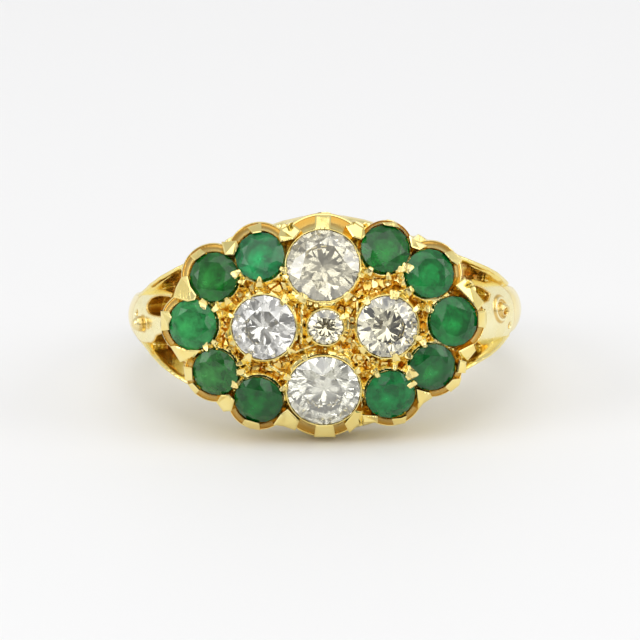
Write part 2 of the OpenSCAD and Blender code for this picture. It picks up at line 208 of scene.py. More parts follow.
def makeMountPlaces():
    group = bpy.data.node_groups.new("mountPlaces", "ShaderNodeTree")
    inlet, outlet = socketsOf(group, [
        ("Near", "NodeSocketFloat", 0.1),
        ("Far", "NodeSocketFloat", 0.9),
    ], [("Depth", "NodeSocketFloat"), ("OpeningShade", "NodeSocketFloat")])
    links = group.links

    def stoodUp(vector):
        turn = addNode(group, "ShaderNodeVectorRotate", rotation_type="X_AXIS")
        turn.inputs["Angle"].default_value = lean
        links.new(vector, turn.inputs["Vector"])
        return turn.outputs[0]

    def distance(a, b):
        squares = [mathNode(group, "MULTIPLY", side, side) for side in (a, b)]
        return mathNode(group, "SQRT", mathNode(group, "ADD", *squares))

    where = addNode(group, "ShaderNodeTexCoord").outputs["Object"]
    shift = addNode(group, "ShaderNodeVectorMath", operation="SUBTRACT")
    shift.inputs[1].default_value = (0, ringMiddle[0] * mm, ringMiddle[1] * mm)
    scale = addNode(group, "ShaderNodeVectorMath", operation="SCALE")
    scale.inputs["Scale"].default_value = 1 / mm
    links.new(where, shift.inputs[0])
    links.new(stoodUp(shift.outputs[0]), scale.inputs[0])
    x, y, z = parted(group, scale.outputs[0])
    # how deep a place lies below the dome, where the golds' painted shade and the shank's paler
    # painted sheen go
    rest = mathNode(group, "SUBTRACT", dome["crossRadius"] ** 2, mathNode(group, "MULTIPLY", z, z))
    bow = mathNode(group, "SQRT", mathNode(group, "MAXIMUM", rest, 0.0))
    reach = mathNode(group, "ADD", bow, dome["longRadius"] - dome["crossRadius"])
    back = mathNode(group, "SUBTRACT", y, dome["longRadius"] - dome["top"])
    depth = mathNode(group, "SUBTRACT", reach, distance(x, back))
    links.new(rangeNode(group, depth, inlet.outputs["Near"], inlet.outputs["Far"]),
              outlet.inputs["Depth"])
    # whether it is on a wall of the shoulders' openings, which gets painted shade
    normal = addNode(group, "ShaderNodeNewGeometry")
    facing = parted(group, stoodUp(normal.outputs["Normal"]))[2]
    inward = mathNode(group, "MULTIPLY", facing, mathNode(group, "SIGN", z))
    radius = distance(x, y)
    openingShade = 1.0
    for value, wall in ((radius, "inside"), (radius, "outside"), (y, "back"), (y, "front"),
                        (inward, "facing")):
        openingShade = mathNode(group, "MULTIPLY", rangeNode(group, value, *openingWalls[wall]), openingShade)
    links.new(openingShade, outlet.inputs["OpeningShade"])
    return group


def makeGoldWear():
    group = bpy.data.node_groups.new("goldWear", "ShaderNodeTree")
    inlet, outlet = socketsOf(group, [
        ("Bright", "NodeSocketColor", (0.95, 0.68, 0.26, 1)),
        ("Warm", "NodeSocketColor", (0.86, 0.52, 0.13, 1)),
        ("Patch size", "NodeSocketFloat", 900.0),
        ("Roughness", "NodeSocketFloat", 0.15),
        ("Roughness spread", "NodeSocketFloat", 0.12),
        ("Scratches", "NodeSocketFloat", 0.5),
    ], [
        ("Colour", "NodeSocketColor"),
        ("Roughness", "NodeSocketFloat"),
        ("Height", "NodeSocketFloat"),
    ])
    links = group.links
    where = addNode(group, "ShaderNodeTexCoord").outputs["Object"]
    patch = noiseNode(group, where, Scale=inlet.outputs["Patch size"], Detail=3)
    stretch = addNode(group, "ShaderNodeMapping")
    setInputs(stretch, {"Rotation": (0.3, 0.5, 0.7), "Scale": (9000, 900, 1500)})
    links.new(where, stretch.inputs["Vector"])
    scratch = noiseNode(group, stretch.outputs[0], Scale=1.0, Detail=2)
    warmth = rangeNode(group, patch, 0.35, 0.7, kind="LINEAR")
    links.new(mixNode(group, warmth, inlet.outputs["Bright"], inlet.outputs["Warm"]),
              outlet.inputs["Colour"])
    spread = mathNode(group, "MULTIPLY", mathNode(group, "SUBTRACT", patch, 0.4),
                      inlet.outputs["Roughness spread"])
    links.new(mathNode(group, "ADD", spread, inlet.outputs["Roughness"], clamp=True),
              outlet.inputs["Roughness"])
    lines = mathNode(group, "MULTIPLY", scratch, inlet.outputs["Scratches"])
    links.new(mathNode(group, "ADD", lines, patch), outlet.inputs["Height"])
    return group


mountPlaces = makeMountPlaces()
goldWear = makeGoldWear()


# a gold: its two tones, then the tone below a depth, which is painted shade, though on the mount a
# paler painted sheen; then painted shade in the pits, on the openings' walls and in the carving
# marked on the mesh; depths are a range in mm below the dome
def goldWithPaintedShade(name, bright, warm, deep, depths, roughness, spread=0.1, patch=900.0, scratches=0.5,
               bump=0.02, pitShade=None, pitShadeDepths=None, openingShade=None, carved=None):
    material = bpy.data.materials.new(name)
    material.use_nodes = True
    tree = material.node_tree
    shader = tree.nodes["Principled BSDF"]
    shader.inputs["Metallic"].default_value = 1.0
    wear = groupNode(tree, goldWear, {
        "Bright": (*bright, 1), "Warm": (*warm, 1), "Patch size": patch, "Roughness": roughness,
        "Roughness spread": spread, "Scratches": scratches,
    })

    def placesAt(near, far):
        return groupNode(tree, mountPlaces, {"Near": near, "Far": far}).outputs

    places = placesAt(*depths)
    colour = mixNode(tree, places["Depth"], wear.outputs["Colour"], (*deep, 1))
    if openingShade:
        colour = mixNode(tree, places["OpeningShade"], colour, (*openingShade, 1))
    if pitShade:
        colour = mixNode(tree, placesAt(*pitShadeDepths)["Depth"], colour, (*pitShade, 1))
    if carved:
        mark = addNode(tree, "ShaderNodeAttribute", attribute_name="carved")
        colour = mixNode(tree, mark.outputs["Fac"], colour, (*carved, 1))
    tree.links.new(colour, shader.inputs["Base Color"])
    tree.links.new(wear.outputs["Roughness"], shader.inputs["Roughness"])
    bumpNode = addNode(tree, "ShaderNodeBump")
    setInputs(bumpNode, {"Strength": 1.0, "Distance": bump * mm})
    tree.links.new(wear.outputs["Height"], bumpNode.inputs["Height"])
    tree.links.new(bumpNode.outputs[0], shader.inputs["Normal"])
    return material


# painted light: the shank is painted paler than the head, a painted sheen; the openings' walls get
# painted shade
mountGold = goldWithPaintedShade("mountGold", (0.98, 0.84, 0.38), (0.95, 0.78, 0.28), (0.97, 0.90, 0.60),
                       (6.5, 11.0), 0.16, openingShade=(0.72, 0.40, 0.15))
# painted light: the scrolls' gold is paler and creamier than the mount's, a painted sheen; their
# carving gets painted shade
scrollGold = goldWithPaintedShade("scrollGold", (0.99, 0.92, 0.58), (0.98, 0.88, 0.48), (0.98, 0.91, 0.60),
                        (6.5, 11.0), 0.26, carved=(0.72, 0.44, 0.08))
# painted shade: the cut gold turns darker amber deeper down between the stones, near black in the
# pits
cutGold = goldWithPaintedShade("cutGold", (0.98, 0.84, 0.38), (0.92, 0.72, 0.24), (0.74, 0.47, 0.10),
                     (0.12, 0.50), 0.17, spread=0.15, patch=2500.0, bump=0.03,
                     pitShade=(0.16, 0.07, 0.01), pitShadeDepths=(0.52, 0.75))
# painted shade: the flutes' gold is darker than the mount's, and darker still deeper in the flutes
fluteGold = goldWithPaintedShade("fluteGold", (0.90, 0.77, 0.34), (0.82, 0.64, 0.18), (0.54, 0.31, 0.06),
                       (0.06, 0.42), 0.22, spread=0.2, patch=1500.0)
# painted shade: darker deeper below the dome, down the claws and the edge line's outer wall
brightCut = goldWithPaintedShade("brightCut", (0.98, 0.84, 0.36), (0.96, 0.76, 0.25), (0.84, 0.58, 0.14),
                       (0.2, 0.9), 0.13, scratches=0.8)
print("ring: gold finishes")


# clouds of inclusions in a stone, and a painted glow
def makeInclusionsAndGlow():
    group = bpy.data.node_groups.new("inclusionsAndGlow", "ShaderNodeTree")
    inlet, outlet = socketsOf(group, [
        ("Clear", "NodeSocketColor", (0.02, 0.2, 0.1, 1)),
        ("VeilAndGlow", "NodeSocketColor", (0.1, 0.4, 0.25, 1)),
        ("Size", "NodeSocketFloat", 700.0),
        ("Amount", "NodeSocketFloat", 0.5),
        ("Glow place", "NodeSocketVector", (0, 0, 0)),
        ("Glow reach", "NodeSocketFloat", 0.001),
        ("Glow", "NodeSocketFloat", 0.0),
    ], [("Colour", "NodeSocketColor"), ("VeilAndGlow", "NodeSocketFloat")])
    links = group.links
    where = addNode(group, "ShaderNodeTexCoord").outputs["Object"]
    cloud = noiseNode(group, where, Scale=inlet.outputs["Size"], Detail=5, Roughness=0.6,
                      Distortion=0.3)
    thick = rangeNode(group, cloud, 0.42, 0.68, kind="LINEAR")
    veilAndGlow = mathNode(group, "MULTIPLY", thick, inlet.outputs["Amount"])
    # painted glow: paler and milkier toward one spot in the stone
    away = addNode(group, "ShaderNodeVectorMath", operation="DISTANCE")
    links.new(where, away.inputs[0])
    links.new(inlet.outputs["Glow place"], away.inputs[1])
    paintedGlow = rangeNode(group, away.outputs["Value"], inlet.outputs["Glow reach"], 0.0)
    light = mathNode(group, "MULTIPLY", paintedGlow, inlet.outputs["Glow"])
    veilAndGlow = mathNode(group, "ADD", veilAndGlow, light, clamp=True)
    links.new(mixNode(group, veilAndGlow, inlet.outputs["Clear"], inlet.outputs["VeilAndGlow"]),
              outlet.inputs["Colour"])
    links.new(veilAndGlow, outlet.inputs["VeilAndGlow"])
    return group


inclusionsAndGlow = makeInclusionsAndGlow()


# a cut stone of one of the two looks; the milk is the share that isn't clear; the emeralds also get
# a painted glow
def gemFinish(name, clear, veilAndGlow, plan, amount, milk, paintedGlow=(0, 0, 0)):
    material = bpy.data.materials.new(name)
    material.use_nodes = True
    tree = material.node_tree
    shader = tree.nodes["Principled BSDF"]
    setInputs(shader, {"IOR": plan["index"], "Transmission Weight": 1 - milk,
                       "Specular IOR Level": plan["gloss"]})
    inside = groupNode(tree, inclusionsAndGlow, {
        "Clear": (*clear, 1), "VeilAndGlow": (*veilAndGlow, 1), "Size": plan["cloud"], "Amount": amount,
        "Glow place": paintedGlow, "Glow reach": plan["glowReach"], "Glow": plan["glow"],
    })
    tree.links.new(inside.outputs["Colour"], shader.inputs["Base Color"])
    frost = mathNode(tree, "MULTIPLY", inside.outputs["VeilAndGlow"], plan["frost"])
    tree.links.new(frost, shader.inputs["Roughness"])
    return material


def paintStone(name, finish):
    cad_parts[name].data.materials.clear()
    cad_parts[name].data.materials.append(finish)


emeraldPlan = {"index": 1.58, "gloss": 0.3, "cloud": 1800.0, "amount": 0.6, "frost": 0.3,
               "glow": 0.85, "glowReach": 0.85 * mm, "paintedGlow": -0.25, "deep": 0.66, "pale": 2.2,
               "lift": 0.004}
diamondPlan = {"index": 2.417, "gloss": 0.5, "cloud": 1500.0, "frost": 0.06,
               "glow": 0.0, "glowReach": mm}
for name, (across, up, width, tint, milk) in emeralds.items():
    deep = tuple(emeraldPlan["deep"] * c for c in tint)
    pale = tuple(min(1, emeraldPlan["pale"] * c + emeraldPlan["lift"]) for c in tint)
    # each emerald's painted glow is brightest a little below and left of its middle
    paintedGlow = domePoint(across + emeraldPlan["paintedGlow"], up + emeraldPlan["paintedGlow"])
    paintStone(name, gemFinish(name + "Green", deep, pale, emeraldPlan, emeraldPlan["amount"],
                               milk, paintedGlow))
for name, (across, up, width, tint, milk, flecks, tone) in diamonds.items():
    paintStone(name, gemFinish(name + "White", tint, tuple(tone * c for c in tint), diamondPlan,
                               flecks, milk))
print("ring: stones finished")


# modelling helpers
def deselect():
    if bpy.context.object and bpy.context.object.mode != "OBJECT":
        bpy.ops.object.mode_set(mode="OBJECT")
    bpy.ops.object.select_all(action="DESELECT")


def chosen(piece):
    deselect()
    piece.select_set(True)
    bpy.context.view_layer.objects.active = piece


def addModifier(piece, kind, **values):
    modifier = piece.modifiers.new(kind.lower(), kind)
    for name, value in values.items():
        setattr(modifier, name, value)
    chosen(piece)
    bpy.ops.object.modifier_apply(modifier=modifier.name)


# in edit mode, selects the vertices whose places pass a test
def selectWhere(piece, test):
    bpy.ops.mesh.select_all(action="DESELECT")
    mesh = bmesh.from_edit_mesh(piece.data)
    for vert in mesh.verts:
        if test(vert.co):
            vert.select_set(True)
    mesh.select_flush_mode()
    bmesh.update_edit_mesh(piece.data)


# a flat piece with its corners at these places, in mm
def outlined(corners, fill="NGON"):
    deselect()
    bpy.ops.mesh.primitive_circle_add(vertices=len(corners), radius=mm, fill_type=fill)
    piece = bpy.context.object
    for vert, corner in zip(piece.data.vertices, corners):
        vert.co = [value * mm for value in corner]
    return piece


def editWhole():
    bpy.ops.object.mode_set(mode="EDIT")
    bpy.ops.mesh.select_all(action="SELECT")


# ends the editing, with every face a triangle that faces outward
def trianglesOut():
    bpy.ops.mesh.select_all(action="SELECT")
    bpy.ops.mesh.quads_convert_to_tris()
    bpy.ops.mesh.normals_make_consistent(inside=False)
    bpy.ops.object.mode_set(mode="OBJECT")


def flipFaces(piece):
    chosen(piece)
    editWhole()
    bpy.ops.mesh.flip_normals()
    bpy.ops.object.mode_set(mode="OBJECT")


# the primitive just added, stretched about its own middle
def stretched(value, middle=(0, 0, 0)):
    piece = bpy.context.object
    bpy.ops.object.transform_apply(location=True, rotation=True, scale=True)
    editWhole()
    bpy.ops.transform.resize(value=value, center_override=middle)
    bpy.ops.object.mode_set(mode="OBJECT")
    return piece


def settle(piece, turn, point):
    piece.data.transform(Matrix.Translation(point) @ turn)
    piece.matrix_world = Matrix.Identity(4)


# from the upright ring, finger axis along Z and head toward -Y, to where it rests
def layDown(piece):
    piece.data.transform(piece.matrix_world)
    middle = Vector((0, ringMiddle[0] * mm, ringMiddle[1] * mm))
    settle(piece, Matrix.Rotation(-lean, 4, "X"), middle)


# from a flat drawing of the head, with what stands out toward -Y, to its domed shape
def dished(piece):
    for vert in piece.data.vertices:
        vert.co.y += domeFront(vert.co.x / mm, vert.co.z / mm) * mm
    layDown(piece)


# with no angle smooth all over, with 0 flat, else smooth up to that angle in degrees
def finishPiece(piece, material, angle=None):
    piece.data.materials.clear()
    piece.data.materials.append(material)
    chosen(piece)
    if angle is None:
        bpy.ops.object.shade_smooth()
    elif angle > 0:
        bpy.ops.object.shade_smooth_by_angle(angle=math.radians(angle))
    else:
        bpy.ops.object.shade_flat()
    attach(piece, "root")
    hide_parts("gold_mount")


def joined(parts, name):
    deselect()
    for part in parts:
        part.select_set(True)
    bpy.context.view_layer.objects.active = parts[0]
    bpy.ops.object.join()
    piece = bpy.context.object
    piece.name = name
    piece.data.name = name
    return piece


# how far a place on the head lies outside the nearest stone, in mm, and which stone that is
def nearestStone(across, up):
    return min((math.hypot(across - stone[0], up - stone[1]) - stone[2] / 2, name)
               for name, stone in stones.items())


edgeStones = ["diamond_top", "emerald_left_1", "emerald_left_2", "emerald_left_3", "emerald_left_4",
              "emerald_left_5", "diamond_bottom", "emerald_right_5", "emerald_right_4",
              "emerald_right_3", "emerald_right_2", "emerald_right_1"]
upCounts = 1.6       # the head is longer than high, so a step up counts for more than one across


# is a place on the head within the ring of the edge stones' middles, let out by a margin
def amongStones(across, up, margin):
    out = math.hypot(across, up * upCounts)
    scale = 1 - margin / max(out, 0.01)
    x, y = across * scale, up * scale
    corners = [stones[name][:2] for name in edgeStones]
    within = False
    for k, (ax, ay) in enumerate(corners):
        bx, by = corners[k - 1]
        if (ay > y) != (by > y) and x < ax + (y - ay) * (bx - ax) / (by - ay):
            within = not within
    return within


# from 0 at low to 1 at high, and the other way about
def smoothStep(value, low, high):
    t = min(1, max(0, (value - low) / (high - low)))
    return t * t * (3 - 2 * t)


def fade(value, low, high):
    return 1 - smoothStep(value, low, high)


# the soldered body: the whole mount, softened as if cast, filed and polished by hand
bodyPlan = {"voxel": 0.08, "soften": 9, "keep": 0.7, "sunk": 0.55, "headFront": -8, "headHalf": 6.4,
            "besideStone": 0.8, "underStone": (-0.25, -0.1)}
# the plain shank, and the degrees from the front over which it lies bare behind the scrolls
shank = {"radius": 10.5, "crown": 1.75, "half": 1.15, "offset": 0.35,
         "leftFrom": 68.5, "rightFrom": 66.0, "to": 84}
chosen(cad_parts["gold_mount"])
bpy.ops.object.duplicate()
mountBody = bpy.context.object
mountBody.name = "mount_body"
mountBody.data.name = "mount_body"
for key in list(mountBody.keys()):
    del mountBody[key]
mountBody.parent = None
editWhole()
bpy.ops.mesh.remove_doubles(threshold=weldGap)
bpy.ops.object.mode_set(mode="OBJECT")
addModifier(mountBody, "REMESH", mode="VOXEL", voxel_size=bodyPlan["voxel"] * mm, adaptivity=0.0)
addModifier(mountBody, "SMOOTH", factor=0.5, iterations=bodyPlan["soften"])
upright = Matrix.Rotation(lean, 4, "X")
upright = upright @ Matrix.Translation((0, -ringMiddle[0] * mm, -ringMiddle[1] * mm))
turnBack = Matrix.Rotation(-lean, 4, "X").to_3x3()
for vert in mountBody.data.vertices:
    x, y, z = (upright @ vert.co) / mm
    angle = math.degrees(math.atan2(abs(x), -y - shank["offset"]))
    start = shank["leftFrom"] if x < 0 else shank["rightFrom"]
    if start < angle < shank["to"]:
        # behind the scrolls the plain shank shows its own rounded outside
        radius = math.hypot(x, y + shank["offset"])
        half = min(abs(z), shank["half"])
        face = shank["radius"] - shank["crown"] + math.sqrt(shank["crown"] ** 2 - half ** 2)
        if radius > face:
            held = smoothStep(angle, start, start + 1) * (radius - face) / radius
            vert.co -= turnBack @ Vector((x, y + shank["offset"], 0)) * held * mm
    if y > bodyPlan["headFront"] or abs(z) > bodyPlan["headHalf"]:
        continue
    # the plate lies lower than its dome, below the cut gold and the flutes
    depth = domeReach(z) - math.hypot(x, y - dome["longRadius"] + dome["top"])
    if depth < bodyPlan["sunk"]:
        away = nearestStone(x, z)[0]
        if away < bodyPlan["besideStone"]:
            held = smoothStep(away, *bodyPlan["underStone"])
            vert.co += turnBack @ Vector((0, held * (bodyPlan["sunk"] - depth) * mm, 0))
addModifier(mountBody, "DECIMATE", ratio=bodyPlan["keep"])
finishPiece(mountBody, mountGold)
print("ring: mount body,", len(mountBody.data.polygons), "faces")


# turns over a piece that mostly faces into the head
def faceOut(piece):
    stand = upright.to_3x3()
    if sum((stand @ face.normal).y for face in piece.data.polygons) > 0:
        flipFaces(piece)


# how far a place is from a stretch between two points
def segmentGap(x, y, ax, ay, bx, by):
    run = (bx - ax) ** 2 + (by - ay) ** 2
    t = min(1, max(0, ((x - ax) * (bx - ax) + (y - ay) * (by - ay)) / run))
    return math.hypot(x - ax - t * (bx - ax), y - ay - t * (by - ay))


# small claws over the stones' edges, by stone: angle round it, width, reach over the stone
stoneClaws = {
    "emerald_left_1": [(268, 0.36, 0.32), (330, 0.32, 0.16), (215, 0.26, 0.08)],
    "emerald_left_2": [(300, 0.34, 0.14), (245, 0.40, 0.10), (52, 0.40, 0.16), (350, 0.24, 0.06)],
    "emerald_left_3": [(35, 0.32, 0.12), (100, 0.34, 0.16), (140, 0.34, 0.16), (320, 0.28, 0.10),
                       (250, 0.44, 0.16)],
    "emerald_left_4": [(0, 0.40, 0.22), (20, 0.26, 0.12), (110, 0.24, 0.08)],
    "emerald_left_5": [(25, 0.28, 0.10), (148, 0.26, 0.08), (320, 0.30, 0.12)],
    "diamond_left": [(52, 0.40, 0.42), (242, 0.42, 0.46), (318, 0.30, 0.12), (115, 0.30, 0.08),
                     (160, 0.24, 0.08)],
    "diamond_top": [(236, 0.60, 0.30), (308, 0.50, 0.14), (345, 0.26, 0.08), (196, 0.24, 0.08)],
    "diamond_bottom": [(158, 0.34, 0.12), (118, 0.30, 0.12), (30, 0.34, 0.10), (345, 0.24, 0.06)],
    "diamond_right": [(76, 0.52, 0.30), (338, 0.34, 0.36), (284, 0.40, 0.26), (222, 0.40, 0.14),
                      (128, 0.40, 0.12), (30, 0.28, 0.10)],
    "diamond_centre": [(30, 0.26, 0.12), (325, 0.30, 0.12), (215, 0.26, 0.10)],
    "emerald_right_1": [(232, 0.38, 0.22), (275, 0.28, 0.18), (320, 0.32, 0.20), (18, 0.30, 0.14)],
    "emerald_right_2": [(218, 0.44, 0.26), (170, 0.26, 0.08)],
    "emerald_right_3": [(152, 0.34, 0.18), (62, 0.36, 0.12), (292, 0.32, 0.10)],
    "emerald_right_4": [(108, 0.34, 0.22), (152, 0.34, 0.16), (222, 0.38, 0.20)],
    "emerald_right_5": [(122, 0.38, 0.28), (45, 0.44, 0.24), (80, 0.26, 0.08)],
}
# bright bars left standing between the stones: from across, up to across, up, width, rise
standingBars = [
    (-1.14, 1.07, -1.24, -0.83, 0.20, -0.02), (-1.58, 1.03, -1.46, -0.65, 0.14, -0.08),
    (1.17, 0.56, 1.16, -0.13, 0.20, 0.0), (1.69, 1.25, 1.66, 0.55, 0.16, -0.04),
    (-0.26, 1.12, 0.48, 1.11, 0.22, 0.02), (-2.02, -1.48, -0.62, -0.94, 0.16, 0.0),
    (-2.34, 1.31, -1.96, 1.63, 0.16, 0.02), (-1.59, 1.75, -1.13, 1.55, 0.26, 0.05),
    (1.93, 1.65, 2.43, 1.35, 0.16, 0.0), (1.45, -0.75, 2.40, -2.00, 0.16, 0.0),
    (-2.9, -1.95, -2.35, -2.35, 0.22, -0.1),
]
# hollows, dark with the cut gold's painted pit shade: across, up, radius
hollows = [
    (-0.74, 1.20, 0.24), (-0.42, 1.08, 0.20), (1.46, 1.39, 0.22), (-0.30, -1.29, 0.18),
    (-0.58, -1.26, 0.16), (-0.02, -1.30, 0.18), (0.76, -1.34, 0.20), (1.76, -1.66, 0.26),
    (1.40, -0.10, 0.16), (1.40, 0.30, 0.16), (1.11, -0.37, 0.14), (-1.74, -1.44, 0.22),
    (2.38, -1.80, 0.14), (-2.15, 1.52, 0.12), (1.20, -0.74, 0.16), (2.11, 1.55, 0.16),
    (-3.73, 1.95, 0.16), (1.60, -2.25, 0.14), (-2.62, -1.75, 0.14), (3.55, -1.78, 0.16),
    (-4.62, 0.55, 0.20), (-4.72, -0.85, 0.26), (-4.35, 1.62, 0.18), (4.72, 0.62, 0.18),
    (4.75, -0.40, 0.18), (3.25, 2.08, 0.22), (2.60, 2.05, 0.20), (4.20, -1.30, 0.20),
    (4.05, -2.70, 0.18), (-1.95, 1.15, 0.14),
]
hollowFlat = 0.3     # the flat middle of a hollow, as a share of its radius
# stretches of a stone's rim that are left smooth: stone, from angle, to angle, width
smoothRims = [("diamond_bottom", 38, 152, 0.30), ("diamond_top", 255, 295, 0.16),
              ("emerald_left_3", 10, 35, 0.1)]
# all in mm; a pair is where a change starts and is done, by the distance from a stone
fieldPlan = {"cell": 0.044, "long": 17.0, "high": 11.6, "margin": 0.45, "keep": 0.25,
             "edge": 0.05, "deep": 0.36, "fall": (0.04, 0.30), "rough": (0.06, 0.26),
             "lap": 0.02, "crownSlope": 0.6, "hollow": 0.5, "inside": 0.6, "atEdge": 0.03}
chipPlan = {"columns": 30, "rows": 21, "size": 0.46, "slant": 0.50, "step": 0.10,
            "groove": 0.17, "grooveWidth": 0.07, "grit": 0.012, "gritSize": 9}
# pairs are where a claw starts to fade and is gone: its side and tip as shares of its width and
# reach, and its tail in mm outside the stone, where it also widens and falls
stoneClaw = {"rise": 0.24, "side": (0.35, 0.75), "tip": (0.5, 1.0), "tail": (0.25, 0.6),
             "farthest": 1.3, "widen": 1.2, "point": 0.3, "pointFrom": 0.1, "fall": 0.4,
             "overStone": 0.1, "polish": 0.75, "least": 0.2}
# pairs are the shares of a rim's or a bar's width where it starts to fade and is gone
rimPlan = {"width": (0.6, 1.2), "ends": 8, "rise": 0.03, "slope": 0.25}
barPlan = {"width": (0.3, 0.75), "smooth": 0.8}


# the small slanting faces that the graver left: across, up, height, slant across, slant up
chance = random.Random(7)
chips = []
for column in range(-chipPlan["columns"], chipPlan["columns"] + 1):
    for row in range(-chipPlan["rows"], chipPlan["rows"] + 1):
        chips.append(((column + chance.random()) * chipPlan["size"],
                      (row + chance.random()) * chipPlan["size"],
                      chance.uniform(-1, 1) * chipPlan["step"],
                      chance.uniform(-1, 1) * chipPlan["slant"],
                      chance.uniform(-1, 1) * chipPlan["slant"]))
chipTree = kdtree.KDTree(len(chips))
for k, chip in enumerate(chips):
    chipTree.insert((chip[0], chip[1], 0), k)
chipTree.balance()


# height of the chipped surface over its mean
def chipHeight(across, up):
    nearest, second = chipTree.find_n((across, up, 0), 2)
    x, y, height, slantAcross, slantUp = chips[nearest[1]]
    height += slantAcross * (across - x) + slantUp * (up - y)
    height -= chipPlan["groove"] * fade(second[2] - nearest[2], 0.0, chipPlan["grooveWidth"])
    grit = noise.noise(Vector((across, up, 0)) * chipPlan["gritSize"])
    return height + chipPlan["grit"] * grit


# how strongly a small claw covers a place, and how high it stands there
def clawOver(across, up):
    most, rise = 0, 0
    tailEnd = stoneClaw["tail"][1]
    for name, claws in stoneClaws.items():
        stone = stones[name]
        x, y = across - stone[0], up - stone[1]
        for angle, width, reach in claws:
            c, s = math.cos(math.radians(angle)), math.sin(math.radians(angle))
            along = x * c + y * s - stone[2] / 2
            aside = abs(y * c - x * s)
            if not -reach < along < tailEnd or aside >= stoneClaw["farthest"] * width:
                continue
            aside = aside / (1 + stoneClaw["widen"] * max(0, along))
            aside += stoneClaw["point"] * max(0, stoneClaw["pointFrom"] - along)
            cover = fade(aside, *(share * width for share in stoneClaw["side"]))
            cover *= fade(-along, *(share * reach for share in stoneClaw["tip"]))
            cover *= fade(along, *stoneClaw["tail"])
            if cover > most:
                most, rise = cover, stoneClaw["rise"] - stoneClaw["fall"] * max(0, along)
    return most, rise


# height of the cut gold above the dome, and how rough it is there
def cutHeight(across, up, away, name):
    rough = smoothStep(away, *fieldPlan["rough"])
    fallen = smoothStep(away, *fieldPlan["fall"])
    height = -fieldPlan["edge"] - (fieldPlan["deep"] - fieldPlan["edge"]) * fallen
    if away < 0:
        height = fieldPlan["lap"] - fieldPlan["crownSlope"] * away
    stone = stones[name]
    angle = math.degrees(math.atan2(up - stone[1], across - stone[0])) % 360
    for rim, start, end, width in smoothRims:
        if rim == name and start < angle < end:
            ends = rimPlan["ends"]
            hold = fade(away, *(share * width for share in rimPlan["width"]))
            hold *= min(1, (angle - start) / ends, (end - angle) / ends)
            smooth = rimPlan["rise"] - rimPlan["slope"] * max(0, away)
            height = height * (1 - hold) + smooth * hold
            rough *= 1 - hold
    for ax, ay, bx, by, width, rise in standingBars:
        hold = fade(segmentGap(across, up, ax, ay, bx, by),
                    *(share * width for share in barPlan["width"]))
        if hold > 0:
            height = height * (1 - hold) + max(height, rise) * hold
            rough *= 1 - barPlan["smooth"] * hold
    for x, y, radius in hollows:
        aside = math.hypot(across - x, up - y)
        if aside < radius:
            height -= fieldPlan["hollow"] * fade(aside, hollowFlat * radius, radius)
    cover, rise = clawOver(across, up)
    rough *= 1 - stoneClaw["polish"] * cover
    if away < 0:
        rise = max(rise, height + stoneClaw["overStone"])
    return height * (1 - cover) + rise * cover, rough


# beyond the edge stones, well inside a stone, or over a stone's edge where no claw is
def outsideField(co):
    across, up = co.x / mm, co.z / mm
    if not amongStones(across, up, fieldPlan["margin"]):
        return True
    away = nearestStone(across, up)[0]
    bare = away < fieldPlan["atEdge"] and clawOver(across, up)[0] < stoneClaw["least"]
    return bare or away < -fieldPlan["inside"]


gridX = round(fieldPlan["long"] / fieldPlan["cell"])
gridY = round(fieldPlan["high"] / fieldPlan["cell"])
deselect()
bpy.ops.mesh.primitive_grid_add(x_subdivisions=gridX, y_subdivisions=gridY, size=1,
                                location=(0, 0, 0), rotation=(math.pi / 2, 0, 0))
cutField = bpy.context.object
cutField.scale = (fieldPlan["long"] * mm, fieldPlan["high"] * mm, 1)
bpy.ops.object.transform_apply(location=True, rotation=True, scale=True)
bpy.ops.object.mode_set(mode="EDIT")
selectWhere(cutField, outsideField)
bpy.ops.mesh.delete(type="VERT")
bpy.ops.object.mode_set(mode="OBJECT")
for vert in cutField.data.vertices:
    across, up = vert.co.x / mm, vert.co.z / mm
    height, rough = cutHeight(across, up, *nearestStone(across, up))
    vert.co.y = -(height + rough * chipHeight(across, up)) * mm
cutField.data.update()
dished(cutField)
addModifier(cutField, "DECIMATE", ratio=fieldPlan["keep"])
cutField.name = "cut_gold"
cutField.data.name = "cut_gold"
faceOut(cutField)
finishPiece(cutField, cutGold, 0)
print("ring: cut gold,", len(cutField.data.polygons), "faces")

# a thin bright collar round each diamond
collarPlan = {"clear": 0.05, "thick": 0.035, "rise": 0.02, "tall": 1.6}
parts = []
for name in diamonds:
    stone = stones[name]
    deselect()
    bpy.ops.mesh.primitive_torus_add(major_radius=(stone[2] / 2 + collarPlan["clear"]) * mm,
                                     minor_radius=collarPlan["thick"] * mm,
                                     major_segments=72, minor_segments=8)
    collar = stretched((1, 1, collarPlan["tall"]))
    settle(collar, domeTurn(*stone[:2]), domePoint(*stone[:2], collarPlan["rise"]))
    parts.append(collar)
collars = joined(parts, "diamond_collars")
finishPiece(collars, brightCut)
print("ring: collars")


turnPlan = {"steps": 120, "overlap": 0.06}


